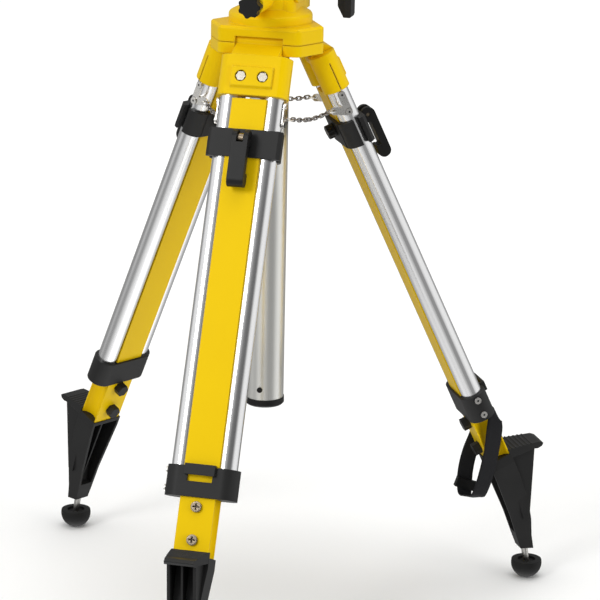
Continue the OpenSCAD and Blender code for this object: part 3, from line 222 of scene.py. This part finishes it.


# Zinc-plated steel
# The screws of the head, hinge pins, the rack with its pinion, and the instrument screw.
# The plating is bright, with faint bluish clouds and rubbed high spots; its crevices are darkened almost to
# black, partly as grime and partly as painted shade.
def zinc_plate(name, tint, dull, round_edge=0.0004):
    material, shader, place = finish(name, tint, dull, metallic=1.0)
    soft = place.node("Bevel", {"samples": 4}, {"Radius": round_edge})
    cloud = place.node("TexNoise", {}, {"Vector": place, "Scale": 90.0, "Detail": 4.0}, "Fac")
    fine = place.node("TexNoise", {}, {"Vector": place, "Scale": 1400.0, "Detail": 2.0}, "Fac")
    plate = place.node("Mix", {"data_type": "RGBA"}, {
        "Factor": cloud, 6: (*[0.82 * c for c in tint], 1),
        7: (tint[0], tint[1], min(1, 1.04 * tint[2]), 1)}, 2)
    # Crevices found by ambient occlusion are darkened: partly grime, partly painted shade
    corner = 1 - place.node("AmbientOcclusion", {"samples": 8, "only_local": True}, {"Distance": 0.002}, "AO")
    grime_and_shade = place.node("MapRange", {}, {"Value": corner, "From Min": 0.12, "From Max": 0.55}, "Result")
    dark = place.node("Mix", {"data_type": "RGBA"}, {
        "Factor": grime_and_shade * 0.9, 6: plate, 7: (0.030, 0.025, 0.020, 1)}, 2)
    dark.into(shader, "Base Color")
    (dull - 0.06 + 0.16 * cloud * fine).into(shader, "Roughness")
    skin = place.node("Bump", {}, {"Strength": 0.2, "Distance": 0.00005, "Height": fine, "Normal": soft})
    skin.into(shader, "Normal")
    return material, shader, place, dark


bright_zinc = zinc_plate("bright_zinc", (0.78, 0.77, 0.74), 0.26)[0]
for node in ("head_fasteners", "hinge_pins", "pinion_shaft", "column_rack", "fixing_screw"):
    dress(node, bright_zinc)


# Leg screws and rivets
# Zinc-plated bolts, chain brackets and tubular rivets on the upper leg; the dark bores of the rivets are
# painted shade, dark discs on their heads.
# The domed foot screws, the spike and the clamp stud carry a yellower passivation.
pin_to_tubes = 0.0065
for i in (1, 2, 3):
    across, down = Vector(joints[f"leg_{i}_swing"]["axis"]), Vector(joints[f"leg_{i}_slide"]["axis"])
    out = down.cross(across)
    pin = Vector(joints[f"leg_{i}_swing"]["pos_m"]) + pin_to_tubes * out
    for node, tint, dull, round_edge in (("hardware", (0.90, 0.88, 0.82), 0.30, 0.0004),
                                         ("foot_hardware", (0.27, 0.22, 0.155), 0.30, 0.0018)):
        material, shader, place, plate = zinc_plate(f"leg_{i}_{node}_zinc", tint, dull, round_edge)
        own = nodes[f"leg_{i}_{node}"].matrix_world.inverted()
        from_pin = place.node("VectorMath", {"operation": "SUBTRACT"}, {0: place, 1: own @ pin})
        outward, along = (from_pin.node("VectorMath", {"operation": "DOT_PRODUCT"}, {
            0: from_pin, 1: own.to_3x3() @ way}, "Value") for way in (out, down))
        if node == "hardware":
            rivets, bore_r = (0.0736, 0.0956, 0.4935, 0.5135), 0.0013
            # Painted shade: the rivet heads get dark discs where their hollow bores would lie in shadow
            painted_bore_shade = sum((outward * outward + (along - s) * (along - s)) ** 0.5 < bore_r for s in rivets)
            bolts = place.node("Mix", {"data_type": "RGBA"}, {
                "Factor": along < 0.06, 6: plate, 7: (0.24, 0.225, 0.19, 1)}, 2)
            plated = place.node("Mix", {"data_type": "RGBA"}, {
                "Factor": painted_bore_shade, 6: bolts, 7: (0.06, 0.06, 0.06, 1)}, 2)
        else:
            plated = place.node("Mix", {"data_type": "RGBA"}, {
                "Factor": along > 0.65, 6: plate, 7: (0.62, 0.61, 0.58, 1)}, 2)
        plated.into(shader, "Base Color")
        dress(f"leg_{i}_{node}", material)


# Guide bushes and brake shoe
# Turned from natural nylon and pressed into the housing; only their rims show.
# The shoe sits behind the brake knob's screw, which pushes it toward the column.
nylon, shader, place = finish("natural_nylon", (0.80, 0.78, 0.70), 0.45)
cloud = place.node("TexNoise", {}, {"Vector": place, "Scale": 60.0, "Detail": 3.0}, "Fac")
place.node("Mix", {"data_type": "RGBA"}, {
    "Factor": cloud, 6: (0.74, 0.72, 0.63, 1), 7: (0.84, 0.82, 0.75, 1)}, 2).into(shader, "Base Color")
(0.40 + 0.12 * cloud).into(shader, "Roughness")
for node in ("guide_bushes", "brake_shoe"):
    dress(node, nylon)


# Moulded black plastic
# Clamps with their levers and knobs, collars, shoes, cap nuts, crank, brake knob and the column's end cap.
# Glass-filled nylon from spark-eroded moulds: charcoal, with a fine even grain and paler edges, partly rubbed
# and partly a painted highlight.
def moulded(name, shade, grain_size, gloss):
    material, shader, place = finish(name, (shade,) * 3, gloss, specular=0.24)
    soft = place.node("Bevel", {"samples": 4}, {"Radius": 0.0008})
    flat = place.node("NewGeometry", out="Normal")
    edge = 1 - place.node("VectorMath", {"operation": "DOT_PRODUCT"}, {0: soft, 1: flat}, "Value")
    edge = place.node("MapRange", {}, {"Value": edge, "From Min": 0.02, "From Max": 0.35}, "Result")
    cloud = place.node("TexNoise", {}, {"Vector": place, "Scale": 35.0, "Detail": 3.0}, "Fac")
    pits = place.node("TexNoise", {}, {"Vector": place, "Scale": grain_size, "Detail": 2.0}, "Fac")
    body = place.node("Mix", {"data_type": "RGBA"}, {
        "Factor": cloud, 6: (0.8 * shade, 0.8 * shade, 0.8 * shade, 1),
        7: (1.2 * shade, 1.19 * shade, 1.17 * shade, 1)}, 2)
    # Paler edges: partly rubbed, partly a painted highlight
    rubbed_and_highlit = place.node("Mix", {"data_type": "RGBA"}, {
        "Factor": edge * 0.3, 6: body, 7: (3 * shade, 3 * shade, 3 * shade, 1)}, 2)
    rubbed_and_highlit.into(shader, "Base Color")
    (gloss - 0.06 + 0.10 * pits + 0.06 * cloud).into(shader, "Roughness")
    skin = place.node("Bump", {}, {"Strength": 0.35, "Distance": 0.00012, "Height": pits, "Normal": soft})
    skin.into(shader, "Normal")
    return material


charcoal = moulded("charcoal_plastic", 0.016, 1300.0, 0.46)
black = moulded("black_plastic", 0.009, 1300.0, 0.42)
for i in (1, 2, 3):
    for part in ("collar", "clamp_plate", "clamp_shell", "shoe"):
        dress(f"leg_{i}_{part}", charcoal)
    for part in ("clamp_lever", "clamp_knob"):
        dress(f"leg_{i}_{part}", black)
for node in ("brake_knob", "crank_arm", "crank_grip", "column_end_cap", "strap_buckle"):
    dress(node, black)


# Aluminium tubes
# Drawn tubes of the legs and the centre column, satin anodised; fine die lines run along each of them.
# The leg tubes are set into the leg head and riveted in the collar; the column slides in its bushes.
def drawn_tube(name, way, satin, warm):
    material, shader, place = finish(name, (0.83, 0.83, 0.84), 0.27, metallic=1.0)
    way = Vector(way).normalized()
    run = place.node("VectorMath", {"operation": "DOT_PRODUCT"}, {0: place, 1: way}, "Value")
    stretch = 0.996 * way  # leaves 1 part in 250 of the run, so the grain is drawn out along the tube
    back = place.node("CombineXYZ", {}, {"X": run * stretch.x, "Y": run * stretch.y, "Z": run * stretch.z})
    drawn = place.node("VectorMath", {"operation": "SUBTRACT"}, {0: place, 1: back})
    lines = place.node("TexNoise", {}, {"Vector": drawn, "Scale": 2600.0, "Detail": 2.0}, "Fac")
    bands = place.node("TexNoise", {}, {"Vector": drawn, "Scale": 420.0, "Detail": 2.0}, "Fac")
    cloud = place.node("TexNoise", {}, {"Vector": place, "Scale": 25.0, "Detail": 3.0}, "Fac")
    place.node("Mix", {"data_type": "RGBA"}, {
        "Factor": bands, 6: (0.82, 0.82, 0.825 - warm, 1), 7: (0.92, 0.92, 0.92 - warm, 1)},
        2).into(shader, "Base Color")
    (satin + 0.07 * lines + 0.05 * cloud).into(shader, "Roughness")
    soft = place.node("Bevel", {"samples": 4}, {"Radius": 0.0004})
    skin = place.node("Bump", {}, {"Strength": 0.25, "Distance": 0.00004, "Height": lines, "Normal": soft})
    skin.into(shader, "Normal")
    return material


for i in (1, 2, 3):
    dress(f"leg_{i}_tubes", drawn_tube(f"anodised_tube_{i}", joints[f"leg_{i}_slide"]["axis"], 0.15, 0.0))
dress("column_tube", drawn_tube("anodised_column", (0, 0, 1), 0.28, 0.04))


# Chains
# Twisted-link chains of zinc-plated wire, hooked into the ring of each bracket.
# The two links at the middle of each chain hang on the last link of either half.
chain_zinc = zinc_plate("chain_zinc", (0.33, 0.31, 0.29), 0.22)[0]
for i in (1, 2, 3):
    for end in ("left", "right"):
        dress(f"leg_{i}_chain_{end}", chain_zinc)


def swept(bm, path, radius, sides):
    """A closed round bar of that radius along a closed path."""
    rings = []
    for k, here in enumerate(path):
        way = (path[(k + 1) % len(path)] - path[k - 1]).normalized()
        side = way.cross(Vector((0, 0, 1))).normalized()
        top = side.cross(way)
        rings.append([bm.verts.new(here + radius * (side * math.cos(a) + top * math.sin(a)))
                      for a in [2 * math.pi * q / sides for q in range(sides)]])
    for ring, after in zip(rings, rings[1:] + rings[:1]):
        for q in range(sides):
            bm.faces.new((ring[q], ring[q - 1], after[q - 1], after[q])).smooth = True


wire_r, link_in, bend_r, link_step = 0.00085, 0.0055, 0.00205, 0.0052
straight = link_in - 2 * (bend_r - wire_r)
link_path = [Vector((way * straight / 2 + bend_r * way * math.cos(a), bend_r * way * math.sin(a), 0))
             for way in (1, -1) for a in [math.radians(15 * k - 90) for k in range(13)]]
ring_slope, half_links = math.radians(15), 5
slopes = [ring_slope * (1 - (k + 0.5) / (half_links + 1)) for k in range(half_links + 1)]
for i in (1, 2, 3):
    for end in ("left", "right"):
        hang = joints[f"leg_{i}_chain_{end}_hang"]
        axis = Vector(hang["axis"])
        level_way = axis.cross(Vector((0, 0, 1)))
        ways = [Matrix.Rotation(slope, 3, axis) @ level_way for slope in slopes]
        start = Vector(hang["pos_m"]) + link_step * sum(ways[:-1], Vector())
        mesh = bpy.data.meshes.new(f"leg_{i}_middle_link_{end}")
        bm = bmesh.new()
        swept(bm, link_path, wire_r, 12)
        bm.to_mesh(mesh)
        bm.free()
        mesh.materials.append(chain_zinc)
        link = bpy.data.objects.new(mesh.name, mesh)
        link.matrix_world = (
            Matrix.Translation(start + ways[-1] * (link_step - link_in / 2 - wire_r))
            @ Matrix((ways[-1], axis, ways[-1].cross(axis))).transposed().to_4x4()
            @ Matrix.Rotation(math.radians(45), 4, "X"))
        scene.collection.objects.link(link)
        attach(link, f"leg_{i}_chain_{end}")


# Rubber feet
# Black rubber balls, cut flat on top with a recess round the spike.
# Each one is pushed onto the end of the spike below its shoe.
rubber, shader, place = finish("black_rubber", (0.012, 0.012, 0.012), 0.6, specular=0.22)
soft = place.node("Bevel", {"samples": 4}, {"Radius": 0.001})
dust = place.node("TexNoise", {}, {"Vector": place, "Scale": 70.0, "Detail": 5.0}, "Fac")
pores = place.node("TexNoise", {}, {"Vector": place, "Scale": 900.0, "Detail": 2.0}, "Fac")
place.node("Mix", {"data_type": "RGBA"}, {
    "Factor": dust, 6: (0.007, 0.007, 0.007, 1), 7: (0.012, 0.012, 0.0115, 1)}, 2).into(shader, "Base Color")
(0.52 + 0.16 * dust).into(shader, "Roughness")
skin = place.node("Bump", {}, {"Strength": 0.4, "Distance": 0.00012, "Height": pores, "Normal": soft})
skin.into(shader, "Normal")
for i in (1, 2, 3):
    dress(f"leg_{i}_rubber_foot", rubber)


# Carrying strap
# A loop of black polyester webbing, passed round the bar of the right leg's collar.
# It hangs about the sliding profile, and a small buckle joins its ends on the far side.
webbing, shader, place = finish("black_webbing", (0.012, 0.012, 0.013), 0.75, specular=0.25)
flat = place.node("TexCoord", out="UV")
lie = flat.node("SeparateXYZ", {}, {"Vector": flat}, "X")
run = flat.node("SeparateXYZ", {}, {"Vector": flat}, "Y")
warp = place.math("SINE", lie * (2 * math.pi / 0.0016))
weft = place.math("SINE", run * (2 * math.pi / 0.0022) + place.math("SIGN", warp) * (math.pi / 2))
cord = place.math("ABSOLUTE", warp) * 0.6 + weft * 0.4
fuzz = place.node("TexNoise", {}, {"Vector": place, "Scale": 2500.0, "Detail": 2.0}, "Fac")
place.node("Mix", {"data_type": "RGBA"}, {
    "Factor": 0.5 + 0.5 * weft, 6: (0.006, 0.006, 0.007, 1), 7: (0.020, 0.020, 0.022, 1)},
    2).into(shader, "Base Color")
(0.62 + 0.2 * fuzz).into(shader, "Roughness")
weave = place.node("Bump", {}, {"Strength": 0.6, "Distance": 0.0003, "Height": cord + 0.3 * fuzz})
weave.into(shader, "Normal")

leg_pin, leg_across = Vector(joints["leg_2_swing"]["pos_m"]), Vector(joints["leg_2_swing"]["axis"])
leg_down = Vector(joints["leg_2_slide"]["axis"])
leg_out = leg_down.cross(leg_across)
# Stations round the loop: distance across the leg from its middle, then the band's two edges,
# each outward from the tubes and down the leg, in millimetres
loop = [
    (0.0, (17.9, 521.5), (17.9, 541.0)), (14.0, (17.9, 521.5), (17.9, 541.0)),
    (20.3, (17.6, 522.5), (18.2, 541.8)), (23.2, (13.5, 524.5), (19.4, 542.0)),
    (24.0, (6.5, 528.5), (19.6, 542.0)), (24.2, (-2.5, 543.5), (15.2, 552.5)),
    (24.2, (-13.5, 556.5), (2.5, 568.0)), (24.2, (-27.0, 569.5), (-11.0, 581.5)),
    (24.2, (-38.0, 582.5), (-21.5, 593.5)), (24.2, (-47.0, 596.0), (-30.5, 607.0)),
    (24.2, (-53.5, 608.5), (-37.0, 619.5)), (23.0, (-57.5, 619.5), (-43.0, 630.5)),
    (17.5, (-58.0, 622.0), (-45.5, 632.5)), (8.0, (-57.2, 620.0), (-44.0, 630.0)),
    (0.0, (-55.8, 617.0), (-42.0, 627.5)), (-8.0, (-54.5, 615.5), (-40.0, 625.0)),
    (-17.0, (-53.0, 613.0), (-38.0, 622.5)), (-21.5, (-50.5, 610.0), (-35.5, 620.0)),
    (-23.6, (-44.0, 602.5), (-28.5, 613.0)), (-24.0, (-34.0, 590.5), (-17.5, 601.0)),
    (-24.2, (-24.0, 577.5), (-6.5, 586.5)), (-24.2, (-13.8, 563.0), (5.0, 569.5)),
    (-24.2, (-3.5, 545.0), (16.0, 551.5)), (-24.0, (6.5, 528.5), (19.6, 542.0)),
    (-23.2, (13.5, 524.5), (19.4, 542.0)), (-20.3, (17.6, 522.5), (18.2, 541.8)),
    (-14.0, (17.9, 521.5), (17.9, 541.0))]


def on_right_leg(u, n, s):
    return leg_pin + (u * leg_across + (n + 1000 * pin_to_tubes) * leg_out + s * leg_down) / 1000


def eased(p0, p1, p2, p3, t):
    return 0.5 * (2 * p1 + (p2 - p0) * t + (2 * p0 - 5 * p1 + 4 * p2 - p3) * t * t
                  + (3 * p1 - p0 - 3 * p2 + p3) * t ** 3)


edges = [(on_right_leg(u, *a), on_right_leg(u, *b)) for u, a, b in loop]
strap_w, strap_t, across_cells, steps = 0.020, 0.0014, 6, 8
mesh = bpy.data.meshes.new("webbing_loop")
bm = bmesh.new()
band, travelled = [], [0.0]
for k in range(len(edges)):
    four = [edges[(k + q - 1) % len(edges)] for q in range(4)]
    for q in range(steps):
        low, high = (eased(*[e[side] for e in four], q / steps) for side in (0, 1))
        band.append([bm.verts.new(low.lerp(high, c / across_cells)) for c in range(across_cells + 1)])
for row, after in zip(band, band[1:] + band[:1]):
    travelled.append(travelled[-1] + (after[across_cells // 2].co - row[across_cells // 2].co).length)
lay = bm.loops.layers.uv.new("webbing")
area = 0.0
for k, row in enumerate(band):
    after = band[(k + 1) % len(band)]
    for c in range(across_cells):
        face = bm.faces.new((row[c], row[c + 1], after[c + 1], after[c]))
        face.smooth = True
        area += face.calc_area()
        for corner, (cc, kk) in zip(face.loops, ((c, k), (c + 1, k), (c + 1, k + 1), (c, k + 1))):
            corner[lay].uv = (strap_w * cc / across_cells, travelled[kk])
bmesh.ops.recalc_face_normals(bm, faces=bm.faces)
bm.to_mesh(mesh)
bm.free()
mesh.materials.append(webbing)
strap = bpy.data.objects.new("webbing_loop", mesh)
scene.collection.objects.link(strap)
thick = strap.modifiers.new("thickness", "SOLIDIFY")
thick.thickness, thick.offset = strap_t, 0.0
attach(strap, "leg_2")
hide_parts("carry_strap")
area / strap_w
